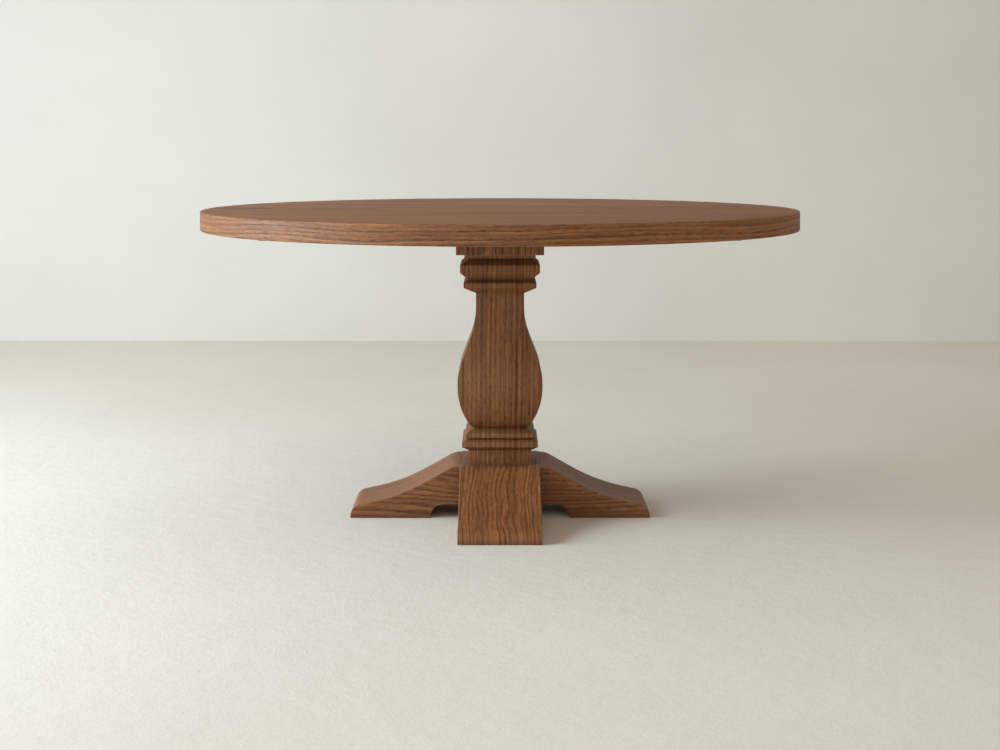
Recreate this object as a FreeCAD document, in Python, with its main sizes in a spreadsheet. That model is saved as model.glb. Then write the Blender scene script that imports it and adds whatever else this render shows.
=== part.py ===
import FreeCAD, Part
import math
import os
import Sketcher

# Round pedestal dining table in oak, in millimetres.
# +Z is up and the origin is on the floor, under the middle of the table.
# The top is ten boards on loose tongues, held by two crossing battens. The pedestal is a
# hollow square baluster of four mitred staves, clamped by a tie rod onto two half-lapped
# beams whose ends are the four feet. Each foot hides a screw leveller.

SIZES = [
    # name, value, meaning
    ("table_height", 770, "floor to the top's upper face"),
    ("top_radius", 750, "round top"),
    ("top_thickness", 47, "boards of the top"),
    ("top_chamfer", 2.5, "chamfered arrises of the rim"),
    ("board_width", 150, "each of the ten boards"),
    ("tongue_width", 30, "loose tongue, half in each board"),
    ("tongue_thickness", 8, "loose tongue"),
    ("tongue_stop", 45, "tongue's end to the rim"),
    ("groove_spare", 0.5, "groove beyond the tongue's edges and ends"),
    ("batten_length", 1200, "both battens"),
    ("batten_width", 192, "both battens"),
    ("batten_thickness", 28, "both battens"),
    ("batten_round", 1.5, "rounded lower arrises"),
    ("screw_radius", 2.5, "wood screw, and its pilot hole"),
    ("screw_length", 56, "wood screw, head to point"),
    ("screw_point", 6, "tapered point"),
    ("screw_head_radius", 5.5, "countersunk head"),
    ("screw_head_height", 3.5, "countersunk head"),
    ("screw_sink", 1, "head's depth below the batten's face"),
    ("screw_sink_spare", 0.5, "radial clearance round the head"),
    ("shank_spare", 0.1, "radial clearance of screws and lag bolts in their holes"),
    ("screw_hole_radius", 3.5, "clearance in the batten, so that the boards can move"),
    ("screw_pilot_depth", 31, "pilot hole in the board"),
    ("screw_row", 60, "screws each side of the batten's middle"),
    ("block_half", 89, "column's top block, half its width"),
    ("block_bottom", 652, "top block's underside, height"),
    ("recess_half", 77.7, "square recesses between the mouldings"),
    ("recess_bottom", 648, "upper recess, height where it slopes out"),
    ("band_half", 99.5, "wide band of the capital"),
    ("band_top", 634, "height"),
    ("band_bottom", 614.5, "height"),
    ("band_recess_height", 596, "height of the crease below the wide band"),
    ("collar_half", 90.9, "narrow band of the capital"),
    ("collar_top", 589, "height"),
    ("collar_bottom", 576.6, "height"),
    ("neck_half", 60.5, "baluster's neck"),
    ("neck_top", 561, "height"),
    ("shoulder_radius", 250, "hollow curve below the neck"),
    ("shoulder_slope", 20.7, "degrees from upright between the two curves"),
    ("swell_radius", 147, "round curve above the belly"),
    ("belly_half", 106, "widest part of the baluster"),
    ("belly_top", 338, "height"),
    ("belly_bottom", 331, "height"),
    ("vase_radius", 181, "round curve below the belly"),
    ("vase_angle", 31, "degrees that it turns"),
    ("tuck_radius", 57, "tighter curve at the foot of the baluster"),
    ("tuck_angle", 54, "degrees from upright where it ends"),
    ("plinth_shelf_half", 81, "upper base moulding, edge of its sloping top"),
    ("plinth_shelf_height", 212.5, "height"),
    ("plinth_half", 87.5, "upper base moulding"),
    ("plinth_top", 205, "height"),
    ("plinth_bottom", 199, "height"),
    ("plinth_round", 10, "round curve over it"),
    ("groove_half", 80, "groove between the base mouldings"),
    ("groove_bottom", 195, "height"),
    ("sill_inner_half", 84, "lower base moulding, inner edge of its sloping top"),
    ("sill_half", 95, "lower base moulding"),
    ("sill_top", 188, "height"),
    ("sill_bottom", 177, "height"),
    ("foot_block_half", 78.4, "square foot of the column"),
    ("foot_block_top", 167, "height"),
    ("hollow_half", 40, "square hollow inside the column"),
    ("beam_length", 750, "toe to toe"),
    ("beam_width", 200, "both beams"),
    ("beam_height", 130, "floor to the flat top"),
    ("beam_round", 2, "rounded arrises"),
    ("shoulder_start", 103.3, "end of the flat top, from the middle"),
    ("knee_radius", 52.5, "round curve at the end of the flat top"),
    ("leg_slope", 29.5, "degrees down from level"),
    ("leg_straight", 68.1, "straight stretch at that slope"),
    ("instep_radius", 464, "hollow curve over the foot"),
    ("toe_slope", 12.5, "degrees down from level over the toe"),
    ("toe_radius", 28, "rounded toe"),
    ("arch_height", 33.5, "gap under the beam, and the radius of its ends"),
    ("arch_start", 174, "inner end of the foot's flat sole, from the middle"),
    ("lap_height", 81, "half-lap joint of the beams"),
    ("rod_radius", 8, "M16 tie rod"),
    ("rod_bottom", 38, "height"),
    ("rod_top", 688, "height"),
    ("rod_hole_radius", 8.5, "clearance hole"),
    ("rod_recess_radius", 23, "recess for the nut under the beams"),
    ("rod_recess_top", 60, "height"),
    ("rod_washer_radius", 20, "large washer"),
    ("rod_washer_thickness", 3, "large washer"),
    ("rod_nut_flats", 24, "M16 nut"),
    ("rod_nut_height", 13, "M16 nut"),
    ("top_plug_bottom", 600, "glue block in the column's head, height"),
    ("top_plug_top", 668, "height"),
    ("bottom_plug_top", 230, "glue block in the column's foot, height"),
    ("lag_circle", 62, "lag bolt to the table's axis"),
    ("lag_radius", 4, "M8 lag bolt"),
    ("lag_length", 80, "under its head"),
    ("lag_hole_radius", 4.1, "hole in the stave and battens"),
    ("lag_hole_bottom", 632, "height"),
    ("lag_head_flats", 13, "hexagonal head"),
    ("lag_head_height", 5.3, "hexagonal head"),
    ("lag_washer_radius", 12, "washer"),
    ("lag_washer_thickness", 1.6, "washer"),
    ("lag_recess_radius", 13, "recess for head and washer"),
    ("lag_recess_depth", 8, "recess in the upper batten"),
    ("dowel_circle", 59, "dowel to the table's axis"),
    ("dowel_radius", 6, "column to beams"),
    ("dowel_bottom", 100, "height"),
    ("dowel_top", 160, "height"),
    ("dowel_spare", 0.1, "radial clearance for glue"),
    ("leveller_reach", 276, "leveller to the table's axis"),
    ("leveller_pocket_radius", 20, "pocket in the foot's sole"),
    ("leveller_pocket_depth", 14, "pocket in the foot's sole"),
    ("stem_hole_radius", 5, "clearance above the insert"),
    ("stem_hole_top", 43.5, "height"),
    ("insert_radius", 6, "threaded insert"),
    ("insert_hole_radius", 6.1, "hole for the insert"),
    ("insert_length", 12, "barrel"),
    ("insert_spare", 0.5, "hole beyond the barrel's end"),
    ("insert_flange_radius", 10, "flange"),
    ("insert_flange_thickness", 1.5, "flange"),
    ("stem_radius", 4, "M8 stem"),
    ("thread_spare", 0.05, "radial clearance of a thread in its nut or insert"),
    ("stem_top", 42, "height"),
    ("stem_hex_flats", 13, "hexagon that a spanner turns"),
    ("stem_hex_bottom", 6.8, "height"),
    ("stem_hex_height", 5, "hexagon"),
    ("stem_head_radius", 5.6, "round head held in the pad"),
    ("stem_head_bottom", 2.4, "height"),
    ("stem_head_height", 2.1, "round head"),
    ("pad_radius", 16, "leveller's pad"),
    ("pad_bottom", 0.5, "height when it is screwed right in"),
    ("pad_top", 6.5, "height"),
    ("pad_chamfer", 1, "pad's edges"),
    ("pad_cavity_radius", 6, "space for the stem's head"),
    ("pad_cavity_bottom", 2.2, "height"),
    ("pad_cavity_top", 4.7, "height"),
    ("past", 1, "how far a cutting shape runs past the face that it cuts"),
]

# Derived sizes, as expressions over the sheet.
TOP_UNDER = "(S.table_height - S.top_thickness)"
BATTEN_UNDER = "(S.table_height - S.top_thickness - S.batten_thickness)"
BATTEN_LAP = "(S.table_height - S.top_thickness - S.batten_thickness / 2)"
LAG_SEAT = "(S.table_height - S.top_thickness - S.lag_recess_depth)"

BOARD_COUNT = 10
SIDES = ["right", "back", "left", "front"]  # column faces and feet, a quarter turn apart
SCREWS_PER_ARM = 3

doc = FreeCAD.newDocument("PedestalTable")
sheet = doc.addObject("Spreadsheet::Sheet", "Sizes")
parts = []


def fill_sheet():
    for row, (name, value, meaning) in enumerate(SIZES, start=1):
        sheet.set(f"A{row}", name)
        sheet.set(f"B{row}", str(value))
        sheet.set(f"C{row}", meaning)
        sheet.setAlias(f"B{row}", name)
    doc.recompute()


def full(expression):
    """The expression with S. written as the sheet's name."""
    return str(expression).replace("S.", "Sizes.")


def value(expression):
    """The number that an expression over the sheet gives."""
    result = sheet.evalExpression(full(expression))
    return float(getattr(result, "Value", result))


def bind(item, **expressions):
    """Bind properties to expressions. x, y, z and turn mean the placement's."""
    paths = {
        "x": "Placement.Base.x",
        "y": "Placement.Base.y",
        "z": "Placement.Base.z",
        "turn": "Placement.Rotation.Angle",
    }
    for name, expression in expressions.items():
        item.setExpression(paths.get(name, name), full(expression))
    return item


def keep(item, label):
    """Name a finished sub-part and list it for export."""
    item.Label = label
    parts.append(item)
    return item


# ---- Part primitives -------------------------------------------------------------------------


def primitive(kind, name, **expressions):
    return bind(doc.addObject(kind, name), **expressions)


def box(name, length, width, height, x="0", y="0", z="0"):
    """A box whose x and y give its middle and z its underside."""
    item = primitive("Part::Box", name, Length=length, Width=width, Height=height)
    return bind(item, x=f"{x} - ({length}) / 2", y=f"{y} - ({width}) / 2", z=z)


def cylinder(name, radius, bottom, top, x="0", y="0"):
    height = f"{top} - ({bottom})"
    return primitive("Part::Cylinder", name, Radius=radius, Height=height, x=x, y=y, z=bottom)


def hexagon(name, flats, bottom, height, x="0", y="0"):
    size = {"Circumradius": f"{flats} / sqrt(3)", "Height": height}
    return primitive("Part::Prism", name, x=x, y=y, z=bottom, **size)


def compound(name, items):
    group = doc.addObject("Part::Compound", name)
    group.Links = items
    return group


def cut(name, base, tool):
    item = doc.addObject("Part::Cut", name)
    item.Base = base
    item.Tool = tool
    return item


def fuse(name, items):
    item = doc.addObject("Part::MultiFuse", name)
    item.Shapes = items
    return item


# ---- PartDesign bodies and sketches ----------------------------------------------------------


def new_body(name):
    body = doc.addObject("PartDesign::Body", name)
    doc.recompute()
    return body


def new_sketch(body, name, plane, height=None):
    """A sketch on one of the body's origin planes, lifted to a height where one is given."""
    sketch = body.newObject("Sketcher::SketchObject", name)
    origin = [item for item in body.Origin.OriginFeatures if item.Role == plane][0]
    sketch.AttachmentSupport = [(origin, "")]
    sketch.MapMode = "FlatFace"
    if height is not None:
        sketch.setExpression("AttachmentOffset.Base.z", full(height))
    return sketch


def drive(sketch, constraint, expression):
    index = sketch.addConstraint(constraint)
    sketch.setExpression(f"Constraints[{index}]", full(expression))


def locate(sketch, edge, end, across, up):
    """Hold one end of an edge at a place given by two expressions."""
    for kind, expression, axis in (("DistanceX", across, -2), ("DistanceY", up, -1)):
        size = value(expression)
        if abs(size) < 1e-9:
            sketch.addConstraint(Sketcher.Constraint("PointOnObject", edge, end, axis))
        elif size > 0:
            drive(sketch, Sketcher.Constraint(kind, -1, 1, edge, end, size), expression)
        else:
            flipped = Sketcher.Constraint(kind, edge, end, -1, 1, -size)
            drive(sketch, flipped, f"-({expression})")


def arc_between(first, last, radius, bulge):
    """Arc from first to last, with its centre on the left of that way if bulge is 1, else -1."""
    middle = (first + last) / 2
    chord = last - first
    left = FreeCAD.Vector(-chord.y, chord.x, 0).normalize()
    centre = middle + left * (bulge * math.sqrt(radius**2 - chord.Length**2 / 4))
    angles = [math.atan2(end.y - centre.y, end.x - centre.x) for end in (first, last)]
    if bulge < 0:
        angles.reverse()
    if angles[1] < angles[0]:
        angles[1] += 2 * math.pi
    circle = Part.Circle(centre, FreeCAD.Vector(0, 0, 1), radius)
    return Part.ArcOfCircle(circle, *angles)


def draw_outline(sketch, points):
    """Closed outline of (across, up) points. A third item is an arc (radius, bulge) to the next."""
    places = [FreeCAD.Vector(value(point[0]), value(point[1]), 0) for point in points]
    ends = []
    for index, point in enumerate(points):
        first = places[index]
        last = places[(index + 1) % len(places)]
        if len(point) == 3:
            radius, bulge = point[2]
            edge = sketch.addGeometry(arc_between(first, last, value(radius), bulge))
            ends.append((edge, 1, 2) if bulge > 0 else (edge, 2, 1))
            drive(sketch, Sketcher.Constraint("Radius", edge, value(radius)), radius)
        else:
            edge = sketch.addGeometry(Part.LineSegment(first, last))
            ends.append((edge, 1, 2))
    for index, (edge, start, finish) in enumerate(ends):
        next_edge, next_start, _ = ends[(index + 1) % len(ends)]
        sketch.addConstraint(
            Sketcher.Constraint("Coincident", edge, finish, next_edge, next_start)
        )
        locate(sketch, edge, start, points[index][0], points[index][1])


def draw_rectangle(sketch, left, right, low, high):
    draw_outline(sketch, [(left, low), (right, low), (right, high), (left, high)])


def draw_circle(sketch, radius, across, up):
    centre = FreeCAD.Vector(value(across), value(up), 0)
    circle = Part.Circle(centre, FreeCAD.Vector(0, 0, 1), value(radius))
    edge = sketch.addGeometry(circle)
    drive(sketch, Sketcher.Constraint("Radius", edge, value(radius)), radius)
    locate(sketch, edge, 3, across, up)


def pad_both_ways(body, sketch, length):
    pad = body.newObject("PartDesign::Pad", body.Name + "Pad")
    pad.Profile = sketch
    pad.SideType = "Symmetric"
    return bind(pad, Length=length)


def pad_up(body, sketch, length):
    pad = body.newObject("PartDesign::Pad", body.Name + "Pad")
    pad.Profile = sketch
    return bind(pad, Length=length)


def pocket_through(body, sketch):
    """Cut a sketch right through, both ways."""
    pocket = body.newObject("PartDesign::Pocket", sketch.Name + "Pocket")
    pocket.Profile = sketch
    pocket.Type = "ThroughAll"
    pocket.SideType = "Symmetric"
    return pocket


def pocket_deep(body, sketch, depth, upwards):
    """Cut a level sketch to a depth, up or down from its own height."""
    pocket = body.newObject("PartDesign::Pocket", sketch.Name + "Pocket")
    pocket.Profile = sketch
    pocket.Reversed = upwards
    return bind(pocket, Length=depth)


def drill(body, name, radius, bottom, top, places):
    """Upright holes between two heights, at (across, up) places."""
    sketch = new_sketch(body, name, "XY_Plane", bottom)
    for across, up in places:
        draw_circle(sketch, radius, across, up)
    return pocket_deep(body, sketch, f"{top} - ({bottom})", upwards=True)


def revolve(body, points):
    """Turn an outline of (radius, height) points about the upright axis."""
    sketch = new_sketch(body, body.Name + "Section", "XZ_Plane")
    draw_outline(sketch, points)
    turned = body.newObject("PartDesign::Revolution", body.Name + "Turned")
    turned.Profile = sketch
    turned.ReferenceAxis = (sketch, ["V_Axis"])
    turned.Angle = 360
    return turned


def round_edges(body, radius, wanted):
    """Fillet the edges of the body's last feature that a test picks."""
    doc.recompute()
    base = body.Tip
    names = []
    for index, edge in enumerate(base.Shape.Edges, start=1):
        if wanted(edge):
            names.append(f"Edge{index}")
    fillet = body.newObject("PartDesign::Fillet", body.Name + "Round")
    fillet.Base = (base, names)
    return bind(fillet, Radius=radius)


def lies_at(edge, axis, place):
    """True where the whole edge lies at one coordinate."""
    limits = edge.BoundBox
    low, high = {
        "y": (limits.YMin, limits.YMax),
        "x": (limits.XMin, limits.XMax),
        "z": (limits.ZMin, limits.ZMax),
    }[axis]
    return abs(low - place) < 0.01 and abs(high - place) < 0.01


# ---- The top ---------------------------------------------------------------------------------


def board_middle(index):
    """The middle of a board across the top, counted from the front."""
    return f"({index + 0.5} * S.board_width - S.top_radius)"


def screw_places():
    """Screws of the two battens, as (x, y) expressions, at the middles of boards 2 to 4 out."""
    along = []
    for step in range(SCREWS_PER_ARM):
        along.append(f"({step + 1.5} * S.board_width)")
    long_batten = []
    cross_batten = []
    for distance in along:
        for end in ("", "-"):
            for side in ("S.screw_row", "-S.screw_row"):
                long_batten.append((end + distance, side))
                cross_batten.append((side, end + distance))
    return long_batten, cross_batten


def make_round_blank():
    """The whole round top, before it is divided into boards."""
    body = new_body("RoundTop")
    high = "S.table_height"
    revolve(
        body,
        [
            ("0", TOP_UNDER),
            ("S.top_radius - S.top_chamfer", TOP_UNDER),
            ("S.top_radius", f"{TOP_UNDER} + S.top_chamfer"),
            ("S.top_radius", f"{high} - S.top_chamfer"),
            ("S.top_radius - S.top_chamfer", high),
            ("0", high),
        ],
    )
    return body


def make_top():
    """Ten boards along X, joined edge to edge by stopped loose tongues."""
    blank = make_round_blank()
    middle_height = f"{TOP_UNDER} + S.top_thickness / 2"
    cutters = []
    tongues = []
    for joint in range(1, BOARD_COUNT):
        across = f"({joint} * S.board_width - S.top_radius)"
        reach = f"2 * (sqrt(S.top_radius ^ 2 - {across} ^ 2) - S.tongue_stop)"
        spare = "S.groove_spare"
        groove_base = f"{middle_height} - S.tongue_thickness / 2 - {spare} / 4"
        cutters.append(
            box(
                f"Groove{joint}",
                f"{reach} + 2 * {spare}",
                f"S.tongue_width + 2 * {spare}",
                f"S.tongue_thickness + {spare} / 2",
                y=across,
                z=groove_base,
            )
        )
        tongue = box(
            f"Tongue{joint}",
            reach,
            "S.tongue_width",
            "S.tongue_thickness",
            y=across,
            z=f"{middle_height} - S.tongue_thickness / 2",
        )
        tongues.append(tongue)
    long_places, cross_places = screw_places()
    for index, (x, y) in enumerate(long_places + cross_places):
        pilot_top = f"{TOP_UNDER} + S.screw_pilot_depth"
        cutters.append(cylinder(f"Pilot{index}", "S.screw_radius", TOP_UNDER, pilot_top, x, y))
    tool = compound("TopCutters", cutters)
    for index in range(BOARD_COUNT):
        strip = box(
            f"Strip{index}",
            "2 * (S.top_radius + S.past)",
            "S.board_width",
            "S.top_thickness",
            y=board_middle(index),
            z=TOP_UNDER,
        )
        plank = doc.addObject("Part::Common", f"Plank{index}")
        plank.Base = blank
        plank.Tool = strip
        keep(cut(f"Board{index}", plank, tool), f"top_board_{index + 1:02d}")
    for number, tongue in enumerate(tongues, start=1):
        keep(tongue, f"top_tongue_{number:02d}")


# ---- The battens and their fixings -----------------------------------------------------------


def ring_places(ring):
    """Four places at a distance from the axis, right, back, left and front."""
    return [(ring, "0"), ("0", ring), ("-" + ring, "0"), ("0", "-" + ring)]


def make_batten(name, label, places, notch_low, notch_high):
    """A flat batten along X, notched half through where the other one crosses it."""
    body = new_body(name)
    half_length = "S.batten_length / 2"
    half_width = "S.batten_width / 2"
    sketch = new_sketch(body, name + "Outline", "XY_Plane", BATTEN_UNDER)
    draw_rectangle(sketch, f"-{half_length}", half_length, f"-{half_width}", half_width)
    pad_up(body, sketch, "S.batten_thickness")
    round_edges(body, "S.batten_round", lambda edge: lies_at(edge, "z", value(BATTEN_UNDER)))
    notch = new_sketch(body, name + "Notch", "XZ_Plane")
    draw_rectangle(notch, f"-{half_width}", half_width, notch_low, notch_high)
    pocket_through(body, notch)
    drill(body, name + "Screws", "S.screw_hole_radius", BATTEN_UNDER, TOP_UNDER, places)
    sink_radius = "S.screw_head_radius + S.screw_sink_spare"
    sink_top = f"{BATTEN_UNDER} + S.screw_sink + S.screw_head_height"
    drill(body, name + "Sinks", sink_radius, BATTEN_UNDER, sink_top, places)
    lags = ring_places("S.lag_circle")
    drill(body, name + "Lags", "S.lag_hole_radius", BATTEN_UNDER, TOP_UNDER, lags)
    return keep(body, label)


def make_battens():
    long_places, cross_places = screw_places()
    make_batten("LongBatten", "batten_long", long_places, BATTEN_LAP, f"{TOP_UNDER} + S.past")
    # The cross batten is drawn along X and turned, so its places are given along X too.
    turned_places = [(y, f"-({x})") for x, y in cross_places]
    low = f"{BATTEN_UNDER} - S.past"
    cross = make_batten("CrossBatten", "batten_cross", turned_places, low, BATTEN_LAP)
    lags = ring_places("S.lag_circle")
    drill(cross, "LagRecesses", "S.lag_recess_radius", LAG_SEAT, TOP_UNDER, lags)
    cross.Placement.Rotation = FreeCAD.Rotation(FreeCAD.Vector(0, 0, 1), 90)


def placed_copies(name, source, places):
    """Links to one fixing, at (x, y) places, as one group of separate solids."""
    links = []
    for index, (x, y) in enumerate(places):
        link = doc.addObject("App::Link", f"{name}{index}")
        link.LinkedObject = source
        link.LinkTransform = True
        bind(link, x=x, y=y)
        links.append(link)
    return compound(name, links)


def make_screws():
    """Countersunk screws up through the battens into the boards."""
    body = new_body("WoodScrew")
    head = f"{BATTEN_UNDER} + S.screw_sink"
    shank = f"{head} + S.screw_head_height"
    tip = f"{head} + S.screw_length"
    slim = "(S.screw_radius - S.shank_spare)"
    revolve(
        body,
        [
            ("0", head),
            ("S.screw_head_radius", head),
            (slim, shank),
            (slim, f"{tip} - S.screw_point"),
            ("0", tip),
        ],
    )
    long_places, cross_places = screw_places()
    keep(placed_copies("Screws", body, long_places + cross_places), "batten_screws")


def make_lag_bolts():
    """Hexagon lag bolts down through the crossing battens into the staves."""
    ring = ring_places("S.lag_circle")
    washer = washer_solid("LagWasher", "S.lag_washer_radius", "S.lag_hole_radius",
                          LAG_SEAT, "S.lag_washer_thickness")
    keep(placed_copies("LagWashers", washer, ring), "lag_washers")
    seat = f"{LAG_SEAT} + S.lag_washer_thickness"
    shank = cylinder("LagShank", "S.lag_radius - S.shank_spare", f"{seat} - S.lag_length", seat)
    head = hexagon("LagHead", "S.lag_head_flats", seat, "S.lag_head_height")
    bolt = fuse("LagBolt", [shank, head])
    keep(placed_copies("LagBolts", bolt, ring), "lag_bolts")


def washer_solid(name, outer, inner, bottom, thickness):
    disc = cylinder(name + "Disc", outer, bottom, f"{bottom} + {thickness}")
    above = f"{bottom} + {thickness} + S.past"
    hole = cylinder(name + "Hole", inner, f"{bottom} - S.past", above)
    return cut(name, disc, hole)


# ---- The column ------------------------------------------------------------------------------


def column_outline():
    """Half of the column's section, from the hollow round by the moulded outside."""
    slope = "S.shoulder_slope"
    # The curves between neck and belly, worked up from the belly.
    swell_x = f"(S.belly_half - S.swell_radius * (1 - cos({slope})))"
    swell_z = f"(S.belly_top + S.swell_radius * sin({slope}))"
    hollow_x = f"(S.neck_half + S.shoulder_radius * (1 - cos({slope})))"
    hollow_z = f"({swell_z} + ({swell_x} - {hollow_x}) / tan({slope}))"
    neck_z = f"({hollow_z} + S.shoulder_radius * sin({slope}))"
    # The curves from the belly down to the base mouldings.
    vase_x = "(S.belly_half - S.vase_radius * (1 - cos(S.vase_angle)))"
    vase_z = "(S.belly_bottom - S.vase_radius * sin(S.vase_angle))"
    tuck_x = f"({vase_x} - S.tuck_radius * (cos(S.vase_angle) - cos(S.tuck_angle)))"
    tuck_z = f"({vase_z} - S.tuck_radius * (sin(S.tuck_angle) - sin(S.vase_angle)))"
    return [
        ("S.hollow_half", "S.beam_height"),
        ("S.foot_block_half", "S.beam_height"),
        ("S.foot_block_half", "S.foot_block_top"),
        ("S.sill_half", "S.sill_bottom"),
        ("S.sill_half", "S.sill_top"),
        ("S.sill_inner_half", "S.groove_bottom"),
        ("S.groove_half", "S.groove_bottom"),
        ("S.groove_half", "S.plinth_bottom"),
        ("S.plinth_half", "S.plinth_bottom"),
        ("S.plinth_half", "S.plinth_top", ("S.plinth_round", 1)),
        ("S.plinth_shelf_half", "S.plinth_shelf_height"),
        (tuck_x, tuck_z, ("S.tuck_radius", 1)),
        (vase_x, vase_z, ("S.vase_radius", 1)),
        ("S.belly_half", "S.belly_bottom"),
        ("S.belly_half", "S.belly_top", ("S.swell_radius", 1)),
        (swell_x, swell_z),
        (hollow_x, hollow_z, ("S.shoulder_radius", -1)),
        ("S.neck_half", neck_z),
        ("S.neck_half", "S.neck_top"),
        ("S.collar_half", "S.collar_bottom"),
        ("S.collar_half", "S.collar_top"),
        ("S.recess_half", "S.band_recess_height"),
        ("S.band_half", "S.band_bottom"),
        ("S.band_half", "S.band_top"),
        ("S.recess_half", "S.recess_bottom"),
        ("S.recess_half", "S.block_bottom"),
        ("S.block_half", "S.block_bottom"),
        ("S.block_half", BATTEN_UNDER),
        ("S.hollow_half", BATTEN_UNDER),
    ]


def make_staves():
    """Four staves with the moulded section, mitred where they meet."""
    near = "S.hollow_half / 2"
    far = "(S.belly_half + S.past)"
    for index, side in enumerate(SIDES):
        body = new_body(f"Stave{index}")
        sketch = new_sketch(body, f"StaveSection{index}", "XZ_Plane")
        draw_outline(sketch, column_outline())
        pad_both_ways(body, sketch, f"2 * {far}")
        mitre = new_sketch(body, f"StaveMitre{index}", "XY_Plane")
        draw_outline(mitre, [(near, near), (far, far), (near, far)])
        draw_outline(mitre, [(near, f"-{near}"), (near, f"-{far}"), (far, f"-{far}")])
        pocket_through(body, mitre)
        bolt_place = [("S.lag_circle", "0")]
        drill(body, f"StaveBolt{index}", "S.lag_hole_radius", "S.lag_hole_bottom",
              BATTEN_UNDER, bolt_place)
        drill(body, f"StaveDowel{index}", "S.dowel_radius + S.dowel_spare", "S.beam_height",
              "S.dowel_top + S.past", [("S.dowel_circle", "0")])
        body.Placement.Rotation = FreeCAD.Rotation(FreeCAD.Vector(0, 0, 1), 90 * index)
        keep(body, f"column_stave_{side}")


def make_plug(name, label, bottom, top):
    """A square glue block in the column's hollow, bored for the tie rod."""
    width = "2 * S.hollow_half"
    block = box(name + "Block", width, width, f"{top} - ({bottom})", z=bottom)
    bore = cylinder(name + "Bore", "S.rod_hole_radius", f"{bottom} - S.past", f"{top} + S.past")
    return keep(cut(name, block, bore), label)


def make_dowels():
    dowel = cylinder("Dowel", "S.dowel_radius", "S.dowel_bottom", "S.dowel_top")
    keep(placed_copies("Dowels", dowel, ring_places("S.dowel_circle")), "column_dowels")


def make_tie_rod():
    """M16 rod from the recess under the beams to the block in the column's head."""
    keep(cylinder("TieRod", "S.rod_radius", "S.rod_bottom", "S.rod_top"), "tie_rod")
    thick = "S.rod_washer_thickness"
    seats = {
        "upper": ("S.top_plug_top", f"S.top_plug_top + {thick}"),
        "lower": (f"S.rod_recess_top - {thick}", f"S.rod_recess_top - {thick} - S.rod_nut_height"),
    }
    for end, (washer_bottom, nut_bottom) in seats.items():
        washer = washer_solid(f"RodWasher{end}", "S.rod_washer_radius", "S.rod_hole_radius",
                              washer_bottom, thick)
        keep(washer, f"tie_rod_washer_{end}")
        nut = hexagon(f"RodNutBlank{end}", "S.rod_nut_flats", nut_bottom, "S.rod_nut_height")
        bore = cylinder(f"RodNutBore{end}", "S.rod_radius + S.thread_spare",
                        f"{nut_bottom} - S.past", f"{nut_bottom} + S.rod_nut_height + S.past")
        keep(cut(f"RodNut{end}", nut, bore), f"tie_rod_nut_{end}")


# ---- The crossing beams ----------------------------------------------------------------------


def foot_outline():
    """One half of a beam's side, from the middle of its flat top out to the toe and back."""
    leg = "S.leg_slope"
    toe = "S.toe_slope"
    knee_x = f"(S.shoulder_start + S.knee_radius * sin({leg}))"
    knee_z = f"(S.beam_height - S.knee_radius * (1 - cos({leg})))"
    leg_x = f"({knee_x} + S.leg_straight * cos({leg}))"
    leg_z = f"({knee_z} - S.leg_straight * sin({leg}))"
    instep_x = f"({leg_x} + S.instep_radius * (sin({leg}) - sin({toe})))"
    instep_z = f"({leg_z} - S.instep_radius * (cos({toe}) - cos({leg})))"
    end_x = "(S.beam_length / 2)"
    toe_x = f"({end_x} - S.toe_radius * (1 - sin({toe})))"
    toe_z = f"({instep_z} - ({toe_x} - {instep_x}) * tan({toe}))"
    tip_z = f"({toe_z} - S.toe_radius * cos({toe}))"
    return [
        ("S.shoulder_start", "S.beam_height", ("S.knee_radius", -1)),
        (knee_x, knee_z),
        (leg_x, leg_z, ("S.instep_radius", 1)),
        (instep_x, instep_z),
        (toe_x, toe_z, ("S.toe_radius", -1)),
        (end_x, tip_z),
        (end_x, "0"),
        ("S.arch_start", "0", ("S.arch_height", 1)),
        ("S.arch_start - S.arch_height", "S.arch_height"),
    ]


def mirrored(points):
    """The same outline on the other side of the axis, in the order that closes it."""
    other = []
    for index in range(len(points) - 1, -1, -1):
        point = (f"-({points[index][0]})", points[index][1])
        arc = points[index - 1][2:] if index else ()
        other.append(point + tuple(arc))
    return other


def make_beam(name, label, notch_low, notch_high):
    """A beam along X: two feet and the flat between, half-lapped in the middle."""
    body = new_body(name)
    half = "S.beam_width / 2"
    sketch = new_sketch(body, name + "Side", "XZ_Plane")
    outline = foot_outline()
    draw_outline(sketch, outline + mirrored(outline))
    pad_both_ways(body, sketch, "S.beam_width")
    side = value(half)
    round_edges(
        body,
        "S.beam_round",
        lambda edge: (lies_at(edge, "y", side) or lies_at(edge, "y", -side))
        and not lies_at(edge, "z", 0),
    )
    notch = new_sketch(body, name + "Notch", "XZ_Plane")
    draw_rectangle(notch, f"-{half}", half, notch_low, notch_high)
    pocket_through(body, notch)
    drill(body, name + "Bore", "S.rod_hole_radius", "0", "S.beam_height", [("0", "0")])
    feet = [("S.leveller_reach", "0"), ("-S.leveller_reach", "0")]
    drill(body, name + "Pockets", "S.leveller_pocket_radius", "0", "S.leveller_pocket_depth", feet)
    insert_top = "S.leveller_pocket_depth + S.insert_length + S.insert_spare"
    drill(body, name + "Inserts", "S.insert_hole_radius", "S.leveller_pocket_depth",
          insert_top, feet)
    drill(body, name + "Stems", "S.stem_hole_radius", insert_top, "S.stem_hole_top", feet)
    return keep(body, label)


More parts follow.
